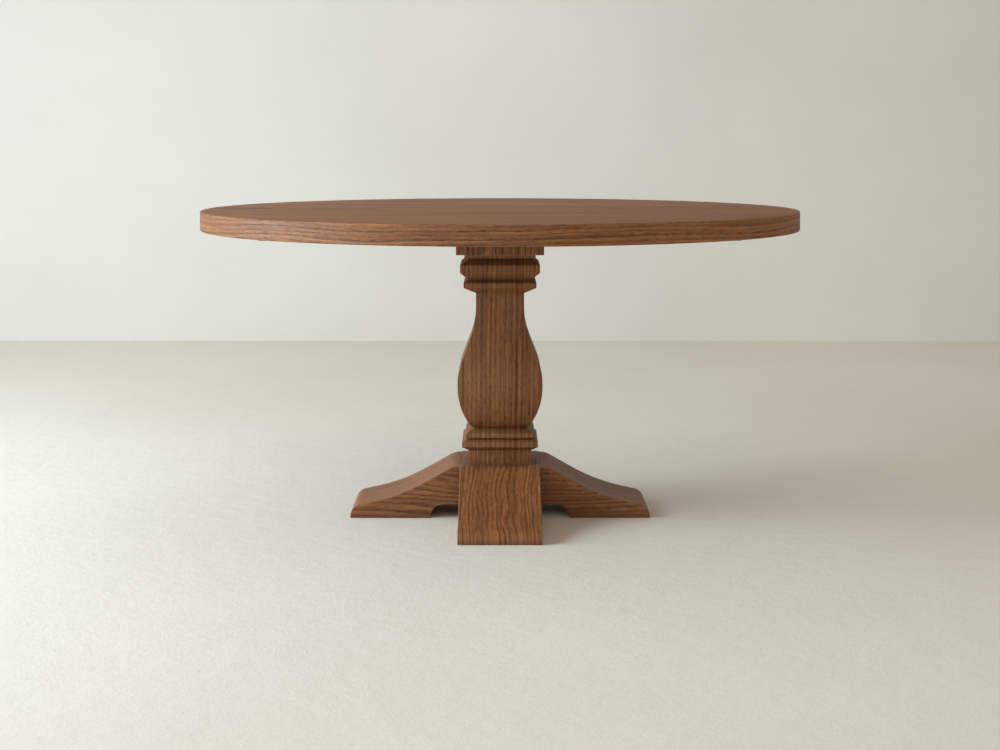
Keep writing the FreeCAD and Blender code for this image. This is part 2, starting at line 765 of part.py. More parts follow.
def make_beams():
    lower = make_beam("LowerBeam", "base_beam_x", "S.lap_height", "S.beam_height + S.past")
    drill(lower, "RodRecess", "S.rod_recess_radius", "0", "S.rod_recess_top", [("0", "0")])
    upper = make_beam("UpperBeam", "base_beam_y", "S.arch_height - S.past", "S.lap_height")
    drill(upper, "DowelHoles", "S.dowel_radius + S.dowel_spare", "S.dowel_bottom - S.past",
          "S.beam_height", ring_places("S.dowel_circle"))
    upper.Placement.Rotation = FreeCAD.Rotation(FreeCAD.Vector(0, 0, 1), 90)


# ---- The levellers ---------------------------------------------------------------------------


def make_inserts():
    """Flanged threaded inserts in the ceilings of the four pockets."""
    body = new_body("Insert")
    ceiling = "S.leveller_pocket_depth"
    bore = "(S.stem_radius + S.thread_spare)"
    revolve(
        body,
        [
            (bore, f"{ceiling} - S.insert_flange_thickness"),
            ("S.insert_flange_radius", f"{ceiling} - S.insert_flange_thickness"),
            ("S.insert_flange_radius", ceiling),
            ("S.insert_radius", ceiling),
            ("S.insert_radius", f"{ceiling} + S.insert_length"),
            (bore, f"{ceiling} + S.insert_length"),
        ],
    )
    keep(placed_copies("Inserts", body, ring_places("S.leveller_reach")), "leveller_inserts")


def make_pad(side, x, y):
    """The pad that the floor meets, closed over the stem's round head."""
    body = new_body(f"Pad{side}")
    bore = "(S.stem_radius + S.thread_spare)"
    revolve(
        body,
        [
            ("0", "S.pad_bottom"),
            ("S.pad_radius - S.pad_chamfer", "S.pad_bottom"),
            ("S.pad_radius", "S.pad_bottom + S.pad_chamfer"),
            ("S.pad_radius", "S.pad_top - S.pad_chamfer"),
            ("S.pad_radius - S.pad_chamfer", "S.pad_top"),
            (bore, "S.pad_top"),
            (bore, "S.pad_cavity_top"),
            ("S.pad_cavity_radius", "S.pad_cavity_top"),
            ("S.pad_cavity_radius", "S.pad_cavity_bottom"),
            ("0", "S.pad_cavity_bottom"),
        ],
    )
    keep(bind(body, x=x, y=y), f"leveller_pad_{side}")


def make_stem(side, x, y):
    """The threaded stem, with a hexagon to turn it and a round head in the pad."""
    head_top = "S.stem_head_bottom + S.stem_head_height"
    head = cylinder(f"StemHead{side}", "S.stem_head_radius", "S.stem_head_bottom", head_top, x, y)
    shank = cylinder(f"StemShank{side}", "S.stem_radius", "S.stem_head_bottom", "S.stem_top", x, y)
    turn = hexagon(f"StemHex{side}", "S.stem_hex_flats", "S.stem_hex_bottom",
                   "S.stem_hex_height", x, y)
    keep(fuse(f"Stem{side}", [head, shank, turn]), f"leveller_stem_{side}")


def make_levellers():
    make_inserts()
    for side, (x, y) in zip(SIDES, ring_places("S.leveller_reach")):
        make_pad(side, x, y)
        make_stem(side, x, y)


# ---- Checks and export -----------------------------------------------------------------------


def check_model():
    doc.recompute()
    for item in doc.Objects:
        if "Invalid" in item.State or "Error" in item.State:
            raise RuntimeError(f"{item.Name} failed: {item.State}")
    for item in parts:
        if item.Shape.isNull() or not item.Shape.isValid():
            raise RuntimeError(f"{item.Label} has no valid shape")


def write_parts():
    os.makedirs("parts", exist_ok=True)
    for item in parts:
        item.Shape.exportStep(f"parts/{item.Label}.step")
        solids = len(item.Shape.Solids)
        print(f"{item.Label}: {solids} solids, {item.Shape.Volume / 1000:.1f} cm3")


fill_sheet()
make_top()
make_battens()
make_screws()
make_lag_bolts()
make_staves()
make_plug("TopPlug", "column_top_block", "S.top_plug_bottom", "S.top_plug_top")
make_plug("BottomPlug", "column_bottom_block", "S.beam_height", "S.bottom_plug_top")
make_dowels()
make_tie_rod()
make_beams()
make_levellers()
check_model()
write_parts()
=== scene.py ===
import math

import bmesh
import bpy
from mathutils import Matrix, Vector


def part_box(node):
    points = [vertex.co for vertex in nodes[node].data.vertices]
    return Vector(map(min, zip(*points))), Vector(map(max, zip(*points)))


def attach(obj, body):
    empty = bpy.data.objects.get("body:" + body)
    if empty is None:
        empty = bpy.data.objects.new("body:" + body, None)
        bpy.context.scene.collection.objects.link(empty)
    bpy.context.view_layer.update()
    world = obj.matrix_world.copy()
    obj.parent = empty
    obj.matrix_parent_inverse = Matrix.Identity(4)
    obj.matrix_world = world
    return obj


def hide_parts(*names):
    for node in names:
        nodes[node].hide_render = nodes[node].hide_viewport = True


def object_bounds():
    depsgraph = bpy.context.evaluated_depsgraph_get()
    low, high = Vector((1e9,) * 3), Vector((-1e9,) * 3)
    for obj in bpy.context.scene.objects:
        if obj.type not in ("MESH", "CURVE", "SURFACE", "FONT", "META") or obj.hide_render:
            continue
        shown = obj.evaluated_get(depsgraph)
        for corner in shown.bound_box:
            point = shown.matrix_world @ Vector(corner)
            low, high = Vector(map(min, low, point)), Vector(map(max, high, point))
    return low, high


# A round pedestal table in satin oak, on a pale floor in soft light from the left.
# Metres, +Z up. The camera looks along +Y.

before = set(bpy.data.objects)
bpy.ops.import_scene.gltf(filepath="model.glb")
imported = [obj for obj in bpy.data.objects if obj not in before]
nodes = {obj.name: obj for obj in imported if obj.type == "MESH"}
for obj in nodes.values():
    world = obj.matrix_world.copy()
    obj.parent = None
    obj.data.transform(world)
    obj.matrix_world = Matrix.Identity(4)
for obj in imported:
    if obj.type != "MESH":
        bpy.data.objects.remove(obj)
cad_low, cad_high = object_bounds()
scene = bpy.context.scene
scene.view_settings.view_transform = "Standard"

GRAIN_X = (1, 0, 0)
GRAIN_Y = (0, 1, 0)
GRAIN_Z = (0, 0, 1)


# ---- Camera, room and light ------------------------------------------------------------------

CAMERA_DISTANCE = 4.165
CAMERA_HEIGHT = 0.9504
CAMERA_TILT = math.radians(3.04)  # down from level
CAMERA_LENS = 59.09  # on a 36 mm sensor
CAMERA_SHIFT = -0.15


def make_camera():
    data = bpy.data.cameras.new("camera")
    data.lens = CAMERA_LENS
    data.sensor_width = 36
    data.shift_y = CAMERA_SHIFT
    camera = bpy.data.objects.new("camera", data)
    scene.collection.objects.link(camera)
    camera.location = (0, -CAMERA_DISTANCE, CAMERA_HEIGHT)
    camera.rotation_euler = (math.pi / 2 - CAMERA_TILT, 0, 0)
    scene.camera = camera


def add_area_light(name, place, target, size, power, colour):
    data = bpy.data.lights.new(name, "AREA")
    data.shape = "RECTANGLE"
    data.size, data.size_y = size
    data.energy = power
    data.color = colour
    light = bpy.data.objects.new(name, data)
    scene.collection.objects.link(light)
    light.location = place
    direction = Vector(target) - Vector(place)
    light.rotation_euler = direction.to_track_quat("-Z", "Y").to_euler()


def make_lights():
    """A tall window on the left, a weak fill from the front and a warm room."""
    add_area_light("window", place=(-4.2, -1.0, 1.6), target=(0, -0.3, 0.6), size=(3.5, 2.6),
                   power=320, colour=(0.78, 0.90, 1.00))
    add_area_light("fill", place=(0.5, -6.0, 3.6), target=(0, 0, 0.6), size=(5.0, 3.0),
                   power=45, colour=(1.0, 1.0, 0.9))
    world = bpy.data.worlds.new("daylight")
    scene.world = world
    world.use_nodes = True
    background = world.node_tree.nodes["Background"]
    background.inputs["Color"].default_value = (1.0, 0.865, 0.76, 1)
    background.inputs["Strength"].default_value = 0.53


# ---- Node trees ------------------------------------------------------------------------------


class Graph:
    """A material's node tree, with a short call for each kind of node that is used here."""

    def __init__(self, name):
        self.material = bpy.data.materials.new(name)
        self.material.use_nodes = True
        self.tree = self.material.node_tree
        self.tree.nodes.clear()
        self.output = self.node("ShaderNodeOutputMaterial")

    def node(self, kind, **settings):
        made = self.tree.nodes.new(kind)
        for key, setting in settings.items():
            setattr(made, key, setting)
        return made

    def feed(self, socket, source):
        if isinstance(source, bpy.types.NodeSocket):
            self.tree.links.new(source, socket)
        else:
            socket.default_value = source

    def place(self):
        """The point in the object's own space, which is the table's space."""
        return self.node("ShaderNodeTexCoord").outputs["Object"]

    def vector(self, operation, first, second):
        made = self.node("ShaderNodeVectorMath", operation=operation)
        self.feed(made.inputs[0], first)
        self.feed(made.inputs[1], second)
        return made.outputs["Value" if operation in ("LENGTH", "DOT_PRODUCT") else "Vector"]

    def math(self, operation, first, second=0.0, third=0.0, clamp=False):
        made = self.node("ShaderNodeMath", operation=operation, use_clamp=clamp)
        for socket, source in zip(made.inputs, (first, second, third)):
            self.feed(socket, source)
        return made.outputs[0]

    def noise(self, vector, detail=2.0, roughness=0.5, colour=False):
        """Noise around 0.5, one unit across."""
        made = self.node("ShaderNodeTexNoise")
        self.feed(made.inputs["Vector"], vector)
        made.inputs["Scale"].default_value = 1.0
        made.inputs["Detail"].default_value = detail
        made.inputs["Roughness"].default_value = roughness
        return made.outputs["Color" if colour else "Fac"]

    def ramp(self, factor, stops, interpolation="LINEAR"):
        """Stops are (position, grey or colour)."""
        made = self.node("ShaderNodeValToRGB")
        made.color_ramp.interpolation = interpolation
        elements = made.color_ramp.elements
        while len(elements) < len(stops):
            elements.new(0.5)
        for element, (position, colour) in zip(elements, stops):
            element.position = position
            if not isinstance(colour, tuple):
                colour = (colour, colour, colour)
            element.color = (*colour, 1)
        self.feed(made.inputs["Fac"], factor)
        return made.outputs["Color"]

    def mix(self, factor, first, second, blend="MIX"):
        made = self.node("ShaderNodeMix", data_type="RGBA", blend_type=blend)
        for index, source in ((0, factor), (6, first), (7, second)):
            if isinstance(source, tuple):
                source = (*source, 1)
            self.feed(made.inputs[index], source)
        return made.outputs[2]

    def between(self, factor, low, high):
        """A number that runs from low to high as factor runs from 0 to 1."""
        made = self.node("ShaderNodeMapRange")
        self.feed(made.inputs["Value"], factor)
        made.inputs["To Min"].default_value = low
        made.inputs["To Max"].default_value = high
        return made.outputs["Result"]

    def bump(self, height, distance, strength=1.0):
        made = self.node("ShaderNodeBump")
        made.inputs["Strength"].default_value = strength
        made.inputs["Distance"].default_value = distance
        self.feed(made.inputs["Height"], height)
        return made.outputs["Normal"]

    def shader(self, **inputs):
        """A Principled shader on the output. Underscores in the names stand for spaces."""
        made = self.node("ShaderNodeBsdfPrincipled")
        for key, source in inputs.items():
            self.feed(made.inputs[key.replace("_", " ")], source)
        self.tree.links.new(made.outputs["BSDF"], self.output.inputs["Surface"])
        return made


# ---- Wood ------------------------------------------------------------------------------------

DARK_GRAIN = (0.058, 0.0192, 0.0051)
MID_GRAIN = (0.195, 0.0715, 0.0200)
PALE_GRAIN = (0.365, 0.153, 0.0475)
PORE = (0.030, 0.0098, 0.0030)

# Streaks by width: lumps a metre along and across the grain, then the noise's detail and roughness.
PATCH = (1.3, 7.0, 2, 0.5)
BROAD = (1.0, 38.0, 2, 0.6)
STREAK = (5.0, 240.0, 3, 0.65)
FIBRE = (20.0, 1000.0, 2, 0.6)
DASH = (55.0, 360.0, 2, 0.7)
PORES = (120.0, 2300.0, 1, 0.5)

SQUEEZE = 0.03  # how far streaks still change along an axis that they follow
TURNED_OFF = 0.6  # a face is turned away from an axis when its normal has less than this along it
SEED_STEP = (0.731, 0.417, 0.593)  # how far a plank is from the next one in the noise

RIM_SHIFT = (4.3, 1.9, 2.7)
RIM_PITH_DEPTH = 0.14
RIM_GLOSS = 0.45


def along_grain(grain, along, across):
    """Scale factors, one along the grain and another across it."""
    return tuple(along if axis else across for axis in grain)


def facing_away(graph, axis):
    """1 on faces that are turned away from an axis, 0 on those that look along it."""
    geometry = graph.node("ShaderNodeNewGeometry")
    facing = graph.vector("DOT_PRODUCT", geometry.outputs["Normal"], axis)
    return graph.math("LESS_THAN", graph.math("ABSOLUTE", facing), TURNED_OFF)


def edge_mask(graph, radius):
    """1 on an arris or in a crease, 0 on the flat."""
    bevel = graph.node("ShaderNodeBevel", samples=4)
    bevel.inputs["Radius"].default_value = radius
    flat = graph.node("ShaderNodeNewGeometry").outputs["True Normal"]
    agreement = graph.vector("DOT_PRODUCT", bevel.outputs["Normal"], flat)
    return graph.math("MULTIPLY", graph.math("SUBTRACT", 1.0, agreement), 3.0, clamp=True)


def occlusion(graph, distance):
    """1 in the open, less in a corner."""
    node = graph.node("ShaderNodeAmbientOcclusion", samples=6)
    node.inputs["Distance"].default_value = distance
    return node.outputs["AO"]


def streaks(graph, place, grain, kind):
    """Noise about 0, drawn out along the grain."""
    along, across, detail, roughness = kind
    scaled = graph.vector("MULTIPLY", place, along_grain(grain, along, across))
    return graph.math("SUBTRACT", graph.noise(scaled, detail, roughness), 0.5)


def bend(graph, place, source, grain, along, across, reach):
    """The place, moved to and fro by up to half the reach. The noise is read at the source."""
    scaled = graph.vector("MULTIPLY", source, along_grain(grain, along, across))
    offset = graph.vector("SUBTRACT", graph.noise(scaled, 2, colour=True), (0.5, 0.5, 0.5))
    return graph.vector("ADD", place, graph.vector("MULTIPLY", offset, (reach,) * 3))


def early_wood(graph, place, grain, pith, spacing):
    """The tree's rings, about the pith: 1 in a ring's open early wood, 0 in its hard late wood."""
    spoke = graph.vector("SUBTRACT", place, pith)
    spoke = graph.vector("MULTIPLY", spoke, along_grain(grain, 0, 1))
    radius = graph.vector("LENGTH", spoke, (0, 0, 0))
    uneven = streaks(graph, place, grain, (0.4, 30.0, 2, 0.5))
    rings = graph.math("ADD", graph.math("DIVIDE", radius, spacing),
                       graph.math("MULTIPLY", uneven, 1.8))
    fade = graph.ramp(graph.math("FRACT", rings),
                      [(0.0, 1.0), (0.14, 0.9), (0.48, 0.12), (0.86, 0.0), (1.0, 1.0)])
    # Each ring has its own strength.
    own = graph.node("ShaderNodeTexWhiteNoise", noise_dimensions="1D")
    graph.feed(own.inputs["W"], graph.math("FLOOR", rings))
    return graph.math("MULTIPLY", fade, graph.between(own.outputs["Value"], 0.35, 1.0))


def rubbed_stain_and_painted_shade(graph, base, streak):
    """Stain that is rubbed thin on the arrises, and painted shade that darkens the corners and
    creases.
    """
    edge = edge_mask(graph, 0.0025)
    worn = graph.math("MULTIPLY", edge, graph.between(streak, 0.30, 0.75), clamp=True)
    base = graph.mix(worn, base, PALE_GRAIN)
    # Painted shade: the colour is darkened where ambient occlusion finds a corner or crease.
    corner = graph.between(occlusion(graph, 0.03), 0.50, 1.0)
    return graph.mix(1.0, base, corner, "MULTIPLY")


def oak(name, grain, pith, seed, spacing=0.011, tone=1.0, gloss=0.5, contrast=1.0,
        wander=0.010, waves=1.6, wiggle=0.002, follow=None, only_off=None, rim_height=None):
    """Stained open-grain oak. The grain runs along one axis, and the rings centre on the pith.

    Spacing is that of the rings. The grain wanders by about that much, in so many waves a metre.
    Follow is an axis across the grain along which the streaks stay the same, so that they run
    on over a moulding or a curve. With only_off, that is so only on faces turned away from
    that axis. With rim_height, such faces are one round band at that height.
    """
    graph = Graph(name)
    shift = tuple(seed * step for step in SEED_STEP)
    place = graph.place()
    if follow:
        squeezed = graph.vector("MULTIPLY", place, along_grain(follow, SQUEEZE, 1))
        turned_off = facing_away(graph, only_off) if only_off else 1.0
        place = graph.mix(turned_off, place, squeezed)
    if rim_height:
        shift = graph.mix(turned_off, shift, RIM_SHIFT)
        pith = graph.mix(turned_off, pith, (0, 0, rim_height - RIM_PITH_DEPTH))
        tone = graph.between(turned_off, tone, 1.0)
        gloss = graph.between(turned_off, gloss, RIM_GLOSS)
    moved = graph.vector("ADD", place, shift)

    # Slow and quick wandering bends the rings and the fibres alike.
    bent = bend(graph, place, moved, grain, waves, 4.0, wander * 6)
    bent = bend(graph, bent, moved, grain, 9.0, 30.0, wiggle)
    early = early_wood(graph, bent, grain, pith, spacing)
    bent = graph.vector("ADD", bent, shift)
    broad, streak, fibre, dashes, pores = (
        streaks(graph, bent, grain, kind) for kind in (BROAD, STREAK, FIBRE, DASH, PORES))
    patch = streaks(graph, moved, grain, PATCH)
    porous = graph.between(early, 0.35, 1.0)
    dash = graph.math("MULTIPLY", graph.ramp(dashes, [(0.03, 0.0), (0.12, 1.0)]), porous)
    pore = graph.math("MULTIPLY", graph.ramp(pores, [(0.07, 0.0), (0.17, 1.0)]), porous)

    # Colour, from the broad bands down to the pores.
    lightness = graph.math("MULTIPLY_ADD", early, -0.34 * contrast, 0.66)
    for part, share in ((broad, 0.60), (streak, 0.80), (fibre, 0.60), (patch, 0.40)):
        lightness = graph.math("MULTIPLY_ADD", part, share * contrast, lightness)
    base = graph.ramp(lightness, [(0.12, DARK_GRAIN), (0.50, MID_GRAIN), (0.88, PALE_GRAIN)])
    base = graph.mix(graph.math("MULTIPLY", dash, 0.85), base, PORE)
    base = graph.mix(graph.math("MULTIPLY", pore, 0.60), base, PORE)
    tint = graph.node("ShaderNodeHueSaturation")
    graph.feed(tint.inputs["Saturation"], graph.between(patch, 0.98, 1.10))
    graph.feed(tint.inputs["Value"], tone)
    # Paler arrises where the stain is rubbed thin, and painted shade darkening the corners.
    graph.feed(tint.inputs["Color"], rubbed_stain_and_painted_shade(graph, base, streak))

    # Satin lacquer that dips into the open pores.
    rough = graph.math("MULTIPLY_ADD", gloss, -0.35, 0.72)
    rough = graph.math("MULTIPLY_ADD", fibre, 0.25, rough)
    rough = graph.math("MULTIPLY_ADD", pore, 0.2, rough, clamp=True)
    relief = graph.math("SUBTRACT", graph.math("MULTIPLY", streak, 0.6), pore)
    for part, depth in ((dash, 0.8), (early, 0.3)):
        relief = graph.math("SUBTRACT", relief, graph.math("MULTIPLY", part, depth))
    graph.shader(Base_Color=tint.outputs["Color"], Roughness=rough,
                 Normal=graph.bump(relief, 0.0004, 0.6), Specular_IOR_Level=0.35)
    return graph.material


# ---- Other finishes --------------------------------------------------------------------------


def zinc_steel():
    """Zinc plate: bright, with cloudy spangle and fine scratches."""
    graph = Graph("zinc_steel")
    place = graph.place()
    cloud = graph.noise(graph.vector("MULTIPLY", place, (180, 180, 180)), 3)
    scratch = graph.noise(graph.vector("MULTIPLY", place, (2400, 2400, 300)), 1)
    colour = graph.mix(cloud, (0.42, 0.43, 0.45), (0.62, 0.63, 0.64))
    rough = graph.math("ADD", graph.between(cloud, 0.28, 0.45),
                       graph.math("MULTIPLY", scratch, 0.08))
    graph.shader(Base_Color=colour, Metallic=1.0, Roughness=rough,
                 Normal=graph.bump(scratch, 0.00003, 0.4))
    return graph.material


def pad_plastic():
    """Moulded black nylon with a fine grain."""
    graph = Graph("pad_plastic")
    place = graph.place()
    cells = graph.node("ShaderNodeTexVoronoi")
    graph.feed(cells.inputs["Vector"], place)
    cells.inputs["Scale"].default_value = 1400
    scuff = graph.noise(graph.vector("MULTIPLY", place, (90, 90, 90)), 4)
    colour = graph.mix(scuff, (0.012, 0.012, 0.013), (0.045, 0.044, 0.043))
    graph.shader(Base_Color=colour, Roughness=graph.between(scuff, 0.5, 0.75),
                 Normal=graph.bump(cells.outputs["Distance"], 0.00006, 0.5))
    return graph.material


# ---- Meshes ----------------------------------------------------------------------------------


def loft(name, rings, material, sharp_angle=30):
    """A closed solid through rings of points, all with the same number of points."""
    mesh = bpy.data.meshes.new(name)
    build = bmesh.new()
    made = [[build.verts.new(point) for point in ring] for ring in rings]
    count = len(rings[0])
    for lower, upper in zip(made, made[1:]):
        for index in range(count):
            following = (index + 1) % count
            build.faces.new((lower[index], lower[following], upper[following], upper[index]))
    build.faces.new(list(reversed(made[0])))
    build.faces.new(made[-1])
    bmesh.ops.recalc_face_normals(build, faces=build.faces)
    build.to_mesh(mesh)
    build.free()
    mesh.polygons.foreach_set("use_smooth", [True] * len(mesh.polygons))
    mesh.set_sharp_from_angle(angle=math.radians(sharp_angle))
    mesh.materials.append(material)
    piece = bpy.data.objects.new(name, mesh)
    scene.collection.objects.link(piece)
    return piece


def arc_points(centre, radius, start, end, steps):
    """Points on an arc in a plane, in degrees, both ends included."""
    points = []
    for step in range(steps + 1):
        angle = math.radians(start + (end - start) * step / steps)
        points.append((centre[0] + radius * math.cos(angle), centre[1] + radius * math.sin(angle)))
    return points


# ---- The top ---------------------------------------------------------------------------------

BOARD_COUNT = 10
RIM_ROUND = 0.003
ROUND_STEPS = 6
RIM_STEPS = 96  # along each board's end
FIRST_BOARD_SEED = 3.1
BOARD_TONES = [1.10, 1.03, 1.16, 1.07, 1.13, 1.02, 1.12, 1.08, 1.17, 1.05]


def rim_profile(radius, low, high):
    """(radius, height) of the rounded rim, from the underside to the upper face."""
    inner = radius - RIM_ROUND
    return (arc_points((inner, low + RIM_ROUND), RIM_ROUND, -90, 0, ROUND_STEPS)
            + arc_points((inner, high - RIM_ROUND), RIM_ROUND, 0, 90, ROUND_STEPS))


def board_ring(radius, height, front, back):
    """A slice of the disc between two planes, as a ring of points.

    Where a plane only touches the disc, both ends meet in one point.
    """
    first = math.asin(max(front / radius, -1))
    last = math.asin(min(back / radius, 1))
    right = []
    for step in range(RIM_STEPS + 1):
        angle = first + (last - first) * step / RIM_STEPS
        right.append((radius * math.cos(angle), radius * math.sin(angle), height))
    left = [(-x, y, z) for x, y, z in reversed(right)]
    if front <= -radius:
        left = left[:-1]
    if back >= radius:
        left = left[1:]
    return right + left


def make_top():
    """Boards with a rounded rim, each cut from its own plank."""
    for index in range(BOARD_COUNT):
        number = f"{index + 1:02d}"
        node = f"top_board_{number}"
        low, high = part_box(node)
        radius = cad_high.x
        # No two planks are cut at the same distance from the pith.
        aside = 0.05 * math.sin(index * 2.3)
        below = 0.10 + 0.04 * math.cos(index)
        pith = (0, (low.y + high.y) / 2 + aside, low.z - below)
        wood = oak(f"oak_top_{number}", GRAIN_X, pith, FIRST_BOARD_SEED + index, spacing=0.009,
                   tone=BOARD_TONES[index], gloss=0.3, contrast=0.9, follow=GRAIN_Y,
                   only_off=GRAIN_Z, rim_height=low.z)
        rings = []
        for ring_radius, height in rim_profile(radius, low.z, high.z):
            # The outer boards end on the rim itself.
            front = -ring_radius if index == 0 else low.y
            back = ring_radius if index == BOARD_COUNT - 1 else high.y
            rings.append(board_ring(ring_radius, height, front, back))
        board = loft(f"board_{number}", rings, wood)
        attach(board, "root")
        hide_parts(node)


# ---- The column ------------------------------------------------------------------------------

CORNER_ROUND = 0.0016
CORNER_STEPS = 3
ARRIS_ROUND = 0.0012
CURVE_STEP = 2.5  # degrees
EASED_TURN = 12  # degrees: gentler bends than this keep their corner
EASED_STEPS = 3
SMOOTH_BELOW = 24  # degrees: gentler bends than this are shaded smooth
FIRST_STAVE_SEED = 21.7
STAVE_PITH_OUTWARD = 0.03
STAVE_PITH_SIDEWAYS = 0.34

# Half widths.
PLATE_HALF = 0.0890
FILLET_HALF = 0.0777
UPPER_BEAD_HALF = 0.0995
LOWER_BEAD_HALF = 0.0909
NECK_HALF = 0.0605
ASTRAGAL_HALF = 0.0875
QUIRK_HALF = 0.0800
BASE_BEAD_HALF = 0.0950
PLINTH_HALF = 0.0784

# The baluster's arcs: radii, heights, and turns from the vertical in degrees.
SHOULDER_RADIUS = 0.250
SWELL_RADIUS = 0.147
VASE_RADIUS = 0.181
TUCK_RADIUS = 0.057
SHOULDER_TURN = 20.7
VASE_TURN = 31
TUCK_TURN = 54
BELLY_TOP = 0.338
BELLY_BOTTOM = 0.331


def curve_points(centre, radius, start, end):
    return arc_points(centre, radius, start, end, max(4, int(abs(end - start) / CURVE_STEP)))


def capital_points(top):
    """The plate under the battens, two beads, and the slope in to the neck."""
    return [
        (PLATE_HALF, top), (PLATE_HALF, 0.6520), (FILLET_HALF, 0.6520), (FILLET_HALF, 0.6480),
        (UPPER_BEAD_HALF, 0.6340), (UPPER_BEAD_HALF, 0.6145), (FILLET_HALF, 0.5960),
        (LOWER_BEAD_HALF, 0.5890), (LOWER_BEAD_HALF, 0.5766), (NECK_HALF, 0.5610),
    ]


def baluster_points(belly):
    """Hollow shoulder, swell, belly and tuck, as arcs that run into each other."""
    lean = math.radians(SHOULDER_TURN)
    swell_half = belly - SWELL_RADIUS * (1 - math.cos(lean))
    swell_height = BELLY_TOP + SWELL_RADIUS * math.sin(lean)
    # A straight run joins the swell to the hollow shoulder, which is upright at the neck.
    hollow_half = NECK_HALF + SHOULDER_RADIUS * (1 - math.cos(lean))
    hollow_height = swell_height + (swell_half - hollow_half) / math.tan(lean)
    neck_end = hollow_height + SHOULDER_RADIUS * math.sin(lean)
    hollow = curve_points((NECK_HALF + SHOULDER_RADIUS, neck_end), SHOULDER_RADIUS,
                          180, 180 + SHOULDER_TURN)
    swell = curve_points((belly - SWELL_RADIUS, BELLY_TOP), SWELL_RADIUS, SHOULDER_TURN, 0)
    vase = curve_points((belly - VASE_RADIUS, BELLY_BOTTOM), VASE_RADIUS, 0, -VASE_TURN)
    turn = math.radians(VASE_TURN)
    tuck_centre = (vase[-1][0] - TUCK_RADIUS * math.cos(turn),
                   vase[-1][1] + TUCK_RADIUS * math.sin(turn))
    tuck = curve_points(tuck_centre, TUCK_RADIUS, -VASE_TURN, -TUCK_TURN)
    return hollow + swell + vase + tuck[1:]


def base_points(bottom):
    """The soft upper bead, the quirk, the lower bead and the plinth."""
    return [
        (0.0810, 0.2125), (0.0855, 0.2095), (ASTRAGAL_HALF, 0.2050), (ASTRAGAL_HALF, 0.1990),
        (QUIRK_HALF, 0.1990), (QUIRK_HALF, 0.1950), (0.0840, 0.1950), (BASE_BEAD_HALF, 0.1880),
        (BASE_BEAD_HALF, 0.1770), (PLINTH_HALF, 0.1670), (PLINTH_HALF, bottom),
    ]


def column_profile():
    """(half width, height) down one face of the column, from top to bottom."""
    low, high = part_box("column_stave_front")
    belly = -low.y
    return eased(capital_points(high.z) + baluster_points(belly) + base_points(low.z), ARRIS_ROUND)


def eased(points, radius):
    """The same line with its sharp corners rounded."""
    line = [Vector(point) for point in points]
    out = [line[0]]
    for before, corner, after in zip(line, line[1:], line[2:]):
        first = before - corner
        second = after - corner
        turn = math.pi - first.angle(second)
        reach = radius * math.tan(turn / 2)
        no_room = reach > 0.45 * min(first.length, second.length)
        if turn < math.radians(EASED_TURN) or no_room:
            out.append(corner)
            continue
        start = corner + first.normalized() * reach
        end = corner + second.normalized() * reach
        # A quadratic curve through the cut corner.
        for step in range(EASED_STEPS + 1):
            share = step / EASED_STEPS
            out.append(start * (1 - share) ** 2 + corner * (2 * share * (1 - share))
                       + end * share ** 2)
    out.append(line[-1])
    return [(point.x, point.y) for point in out]


def stave_ring(half, height, hollow, outward):
    """One level of a stave: rounded corners, flat face, mitres and the hollow's side."""
    centre = half - CORNER_ROUND
    ring = arc_points((centre, centre), CORNER_ROUND, 45, 90, CORNER_STEPS)
    ring += arc_points((-centre, centre), CORNER_ROUND, 90, 135, CORNER_STEPS)
    ring += [(-hollow, hollow), (hollow, hollow)]
    turn = math.atan2(outward.y, outward.x) - math.pi / 2
    cosine, sine = math.cos(turn), math.sin(turn)
    return [(u * cosine - v * sine, u * sine + v * cosine, height) for u, v in ring]


def make_column():
    """Four mitred staves that carry the moulded section."""
    profile = list(reversed(column_profile()))
    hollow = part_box("column_top_block")[1].x
    directions = {
        "right": Vector((1, 0)),
        "back": Vector((0, 1)),
        "left": Vector((-1, 0)),
        "front": Vector((0, -1)),
    }
    for number, (side, outward) in enumerate(directions.items()):
        sideways = Vector((-outward.y, outward.x))
        # Quarter sawn: the pith is far off to one side, so the rings run straight down the face.
        pith = outward * STAVE_PITH_OUTWARD + sideways * STAVE_PITH_SIDEWAYS
        depth_axis = (abs(outward.x), abs(outward.y), 0)
        wood = oak(f"oak_column_{side}", GRAIN_Z, (pith.x, pith.y, 0), FIRST_STAVE_SEED + number,
                   spacing=0.012, tone=0.93, wander=0.003, wiggle=0.0015, follow=depth_axis)
        rings = [stave_ring(half, height, hollow, outward) for half, height in profile]
        stave = loft(f"stave_{side}", rings, wood, sharp_angle=SMOOTH_BELOW)
        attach(stave, "root")
        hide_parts(f"column_stave_{side}")


# ---- Finishes of the CAD nodes ---------------------------------------------------------------

STEEL_NODES = ("lag_", "tie_rod", "leveller_stem", "leveller_inserts", "batten_screws")


def finish_node(name, material):
    data = nodes[name].data
    data.materials.clear()
    data.materials.append(material)


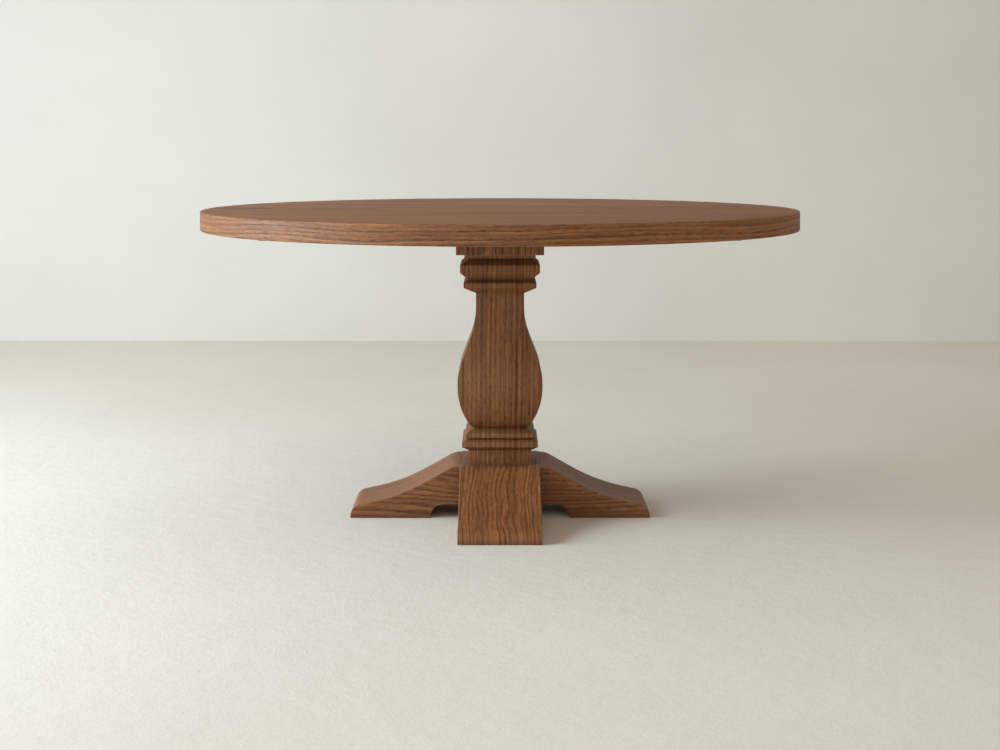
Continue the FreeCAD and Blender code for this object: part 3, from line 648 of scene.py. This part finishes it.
def finish_nodes():
    """Give every carried-over CAD node its material."""
    batten = {"spacing": 0.014, "tone": 0.95, "follow": GRAIN_Z}
    finish_node("batten_long", oak("oak_batten_long", GRAIN_X, (0, 0.45, 0), 41, **batten))
    finish_node("batten_cross", oak("oak_batten_cross", GRAIN_Y, (0.45, 0, 0), 43, **batten))
    finish_node("base_beam_x", oak("oak_beam_x", GRAIN_X, (0, 0.36, -0.28), 51, spacing=0.0075,
                                   contrast=0.85, follow=GRAIN_Z, only_off=GRAIN_Y))
    # The front foot is cut from a paler plank with a livelier grain.
    finish_node("base_beam_y", oak("oak_beam_y", GRAIN_Y, (0.40, 0, -0.10), 57, tone=1.15,
                                   wander=0.022, waves=2.4, follow=GRAIN_Z, only_off=GRAIN_X))
    # Wood inside the table has had no stain.
    inner_x = oak("oak_inner_x", GRAIN_X, (0, 0.3, 0.5), 61, tone=1.3)
    inner_z = oak("oak_inner_z", GRAIN_Z, (0.3, 0.1, 0), 63, tone=1.3)
    by_start = (
        ("top_tongue", inner_x),
        ("column_top_block", inner_z),
        ("column_bottom_block", inner_z),
        ("column_dowels", inner_z),
        ("leveller_pad", pad_plastic()),
    )
    steel = zinc_steel()
    for name in nodes:
        for start, material in by_start:
            if name.startswith(start):
                finish_node(name, material)
        if name.startswith(STEEL_NODES):
            finish_node(name, steel)


# ---- The room --------------------------------------------------------------------------------

WALL_DISTANCE = 3.49
FLOOR_LEFT = -4.4
ROOM_REACH = 14.0
ROOM_HEIGHT = 8.0
FLOOR_DROP = 0.0003  # keeps the floor apart from the soles that stand on it


def flat_sheet(name, first, last, material):
    """A rectangle between two corners, which faces up, or towards -Y when it stands."""
    corners = [first, (last[0], *first[1:]), last, (first[0], *last[1:])]
    mesh = bpy.data.meshes.new(name)
    mesh.from_pydata(corners, [], [(0, 1, 2, 3)])
    mesh.materials.append(material)
    sheet = bpy.data.objects.new(name, mesh)
    scene.collection.objects.link(sheet)


def plaster(name, pale, shade, relief_height):
    """Troweled plaster with soft patches. It is clear when it is looked at from behind."""
    graph = Graph(name)
    place = graph.place()
    patch = graph.noise(graph.vector("MULTIPLY", place, (0.9, 0.9, 0.9)), 5, 0.55)
    trowel = graph.noise(graph.vector("MULTIPLY", place, (14, 14, 14)), 6, 0.62)
    grit = graph.noise(graph.vector("MULTIPLY", place, (160, 160, 160)), 2)
    colour = graph.mix(graph.ramp(patch, [(0.35, 0.0), (0.65, 1.0)]), shade, pale)
    relief = graph.math("MULTIPLY_ADD", grit, 0.15, trowel)
    surface = graph.shader(Base_Color=colour, Roughness=0.9, Specular_IOR_Level=0.2,
                           Normal=graph.bump(relief, relief_height, 0.6))
    clear = graph.node("ShaderNodeBsdfTransparent")
    geometry = graph.node("ShaderNodeNewGeometry")
    blend = graph.node("ShaderNodeMixShader")
    graph.feed(blend.inputs[0], geometry.outputs["Backfacing"])
    graph.feed(blend.inputs[1], surface.outputs["BSDF"])
    graph.feed(blend.inputs[2], clear.outputs["BSDF"])
    graph.feed(graph.output.inputs["Surface"], blend.outputs["Shader"])
    return graph.material


def make_room():
    """A pale floor and one pale wall."""
    floor = plaster("floor_plaster", (0.765, 0.75, 0.68), (0.725, 0.71, 0.64), 0.0035)
    wall = plaster("wall_plaster", (0.70, 0.69, 0.635), (0.66, 0.65, 0.60), 0.001)
    flat_sheet("floor", (FLOOR_LEFT, -ROOM_REACH, -FLOOR_DROP),
               (ROOM_REACH, ROOM_REACH, -FLOOR_DROP), floor)
    flat_sheet("wall", (-ROOM_REACH, WALL_DISTANCE, -FLOOR_DROP),
               (ROOM_REACH, WALL_DISTANCE, ROOM_HEIGHT), wall)


make_camera()
make_lights()
make_room()
make_top()
make_column()
finish_nodes()
